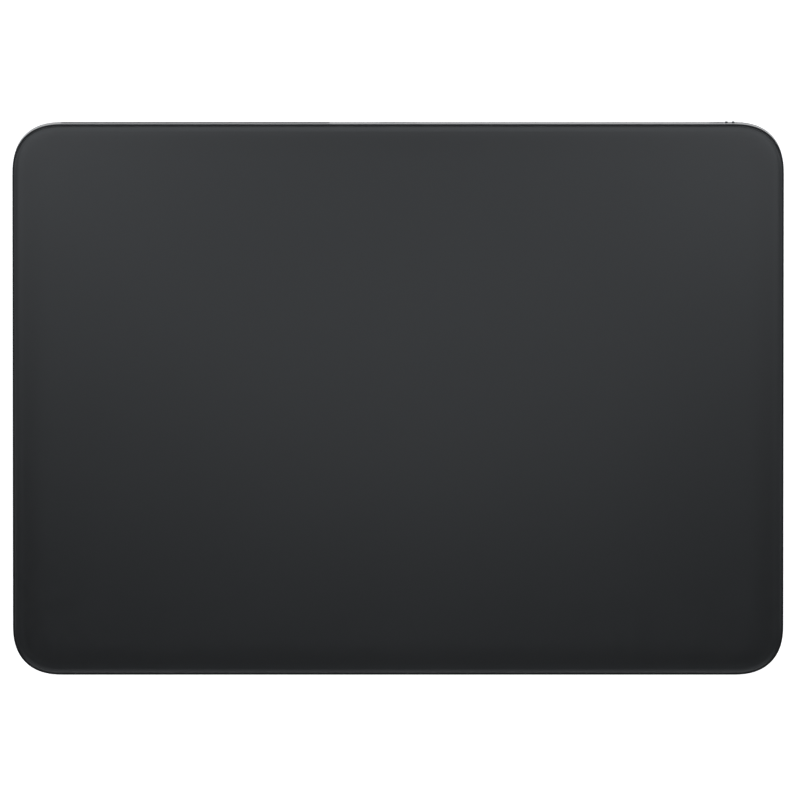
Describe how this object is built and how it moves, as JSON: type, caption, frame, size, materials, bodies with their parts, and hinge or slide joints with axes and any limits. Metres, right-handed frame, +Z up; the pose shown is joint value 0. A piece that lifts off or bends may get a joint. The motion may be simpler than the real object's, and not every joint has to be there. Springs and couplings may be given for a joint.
{
  "type": "desktop trackpad",
  "caption": "Wedge-shaped desktop trackpad: dark glass touch plate on press flexures over a lateral haptic actuator, in a dark metal shell with a rear charging port and sliding power switch",
  "frame": {"origin": "middle of the footprint, on the plane of the feet's undersides", "axes": "+X to the user's right along the width, +Y to the rear edge with the port and switch, +Z up"},
  "size_m": [0.16, 0.1152, 0.0109],
  "materials": {
    "shell_metal": "fine bead-blasted dark anodised",
    "glass_face": "etched matte, dark backed",
    "cover_plastic": "fine grain",
    "window_plastic": "fine matte, toned to the shell",
    "adhesive": "film",
    "foot_rubber": "smooth matte",
    "cell_pouch": "laminate foil",
    "circuit_board": "solder mask",
    "flex_film": "polyimide film",
    "chip_resin": "moulded",
    "bright_steel": "stamped",
    "connector_plastic": "moulded",
    "screw_steel": "turned",
    "black_plastic": "moulded",
    "gold_contact": "plated",
    "indicator_green": "painted",
    "core_steel": "laminated",
    "copper_wire": "enamelled winding",
    "spring_steel": "rolled",
    "silicone": "matte",
    "knob_metal": "satin dark anodised",
    "stiffener_steel": "rolled sheet",
    "cable_jacket": "matte"
  },
  "bodies": {
    "base": {"enclosure": "shell_metal", "bottom_cover": "cover_plastic", "cover_adhesive": "adhesive", "rubber_feet": "foot_rubber", "battery_cell": "cell_pouch", "battery_adhesive": "adhesive", "battery_board": "circuit_board", "battery_lead": "flex_film", "logic_board": "circuit_board", "microcontroller_chip": "chip_resin", "radio_chip": "chip_resin", "charging_chip": "chip_resin", "shield_can": "bright_steel", "board_connectors": "connector_plastic", "board_screws": "screw_steel", "touch_flex": "flex_film", "port_shell": "bright_steel", "port_insulator": "black_plastic", "port_contacts": "gold_contact", "port_board": "circuit_board", "port_bracket": "bright_steel", "port_screws": "screw_steel", "port_flex": "flex_film", "switch_backplate": "black_plastic", "on_indicator": "indicator_green", "switch_can": "bright_steel", "switch_board": "circuit_board", "switch_screw": "screw_steel", "switch_flex": "flex_film", "antenna_window": "window_plastic", "antenna_carrier": "black_plastic", "antenna_trace": "copper_wire", "antenna_coax": "cable_jacket", "haptic_bracket": "bright_steel", "haptic_cores": "core_steel", "haptic_coils": "copper_wire", "haptic_screws": "screw_steel", "haptic_lead": "flex_film", "flexure_springs": "spring_steel", "force_gauges": "flex_film", "flexure_screws": "screw_steel", "limit_pads": "silicone"},
    "press_carrier": {"flexure_studs": "screw_steel"},
    "touch_plate": {"glass_top": "glass_face", "sensor_adhesive": "adhesive", "sensor_board": "circuit_board", "touch_controller_chip": "chip_resin", "sensor_connector": "connector_plastic", "stiffener_plate": "stiffener_steel", "isolators": "silicone", "armature": "core_steel", "armature_carrier": "bright_steel", "armature_screws": "screw_steel"},
    "power_slider": {"switch_knob": "knob_metal", "switch_plunger": "connector_plastic"}
  },
  "joints": [
    {"name": "surface_press", "type": "slide", "parent": "base", "child": "press_carrier", "axis": [0, 0.0521, -0.9986], "range_m": [0, 0.0002], "stiffness_N_per_m": 20000, "springref_m": -0.00008, "deforming": ["flexure_springs", "touch_flex"]},
    {"name": "haptic_shift", "type": "slide", "parent": "press_carrier", "child": "touch_plate", "axis": [1, 0, 0], "range_m": [-0.00015, 0.00015], "stiffness_N_per_m": 30000, "deforming": ["isolators"]},
    {"name": "power_switch", "type": "slide", "parent": "base", "child": "power_slider", "axis": [-1, 0, 0], "range_m": [0, 0.0026]}
  ]
}
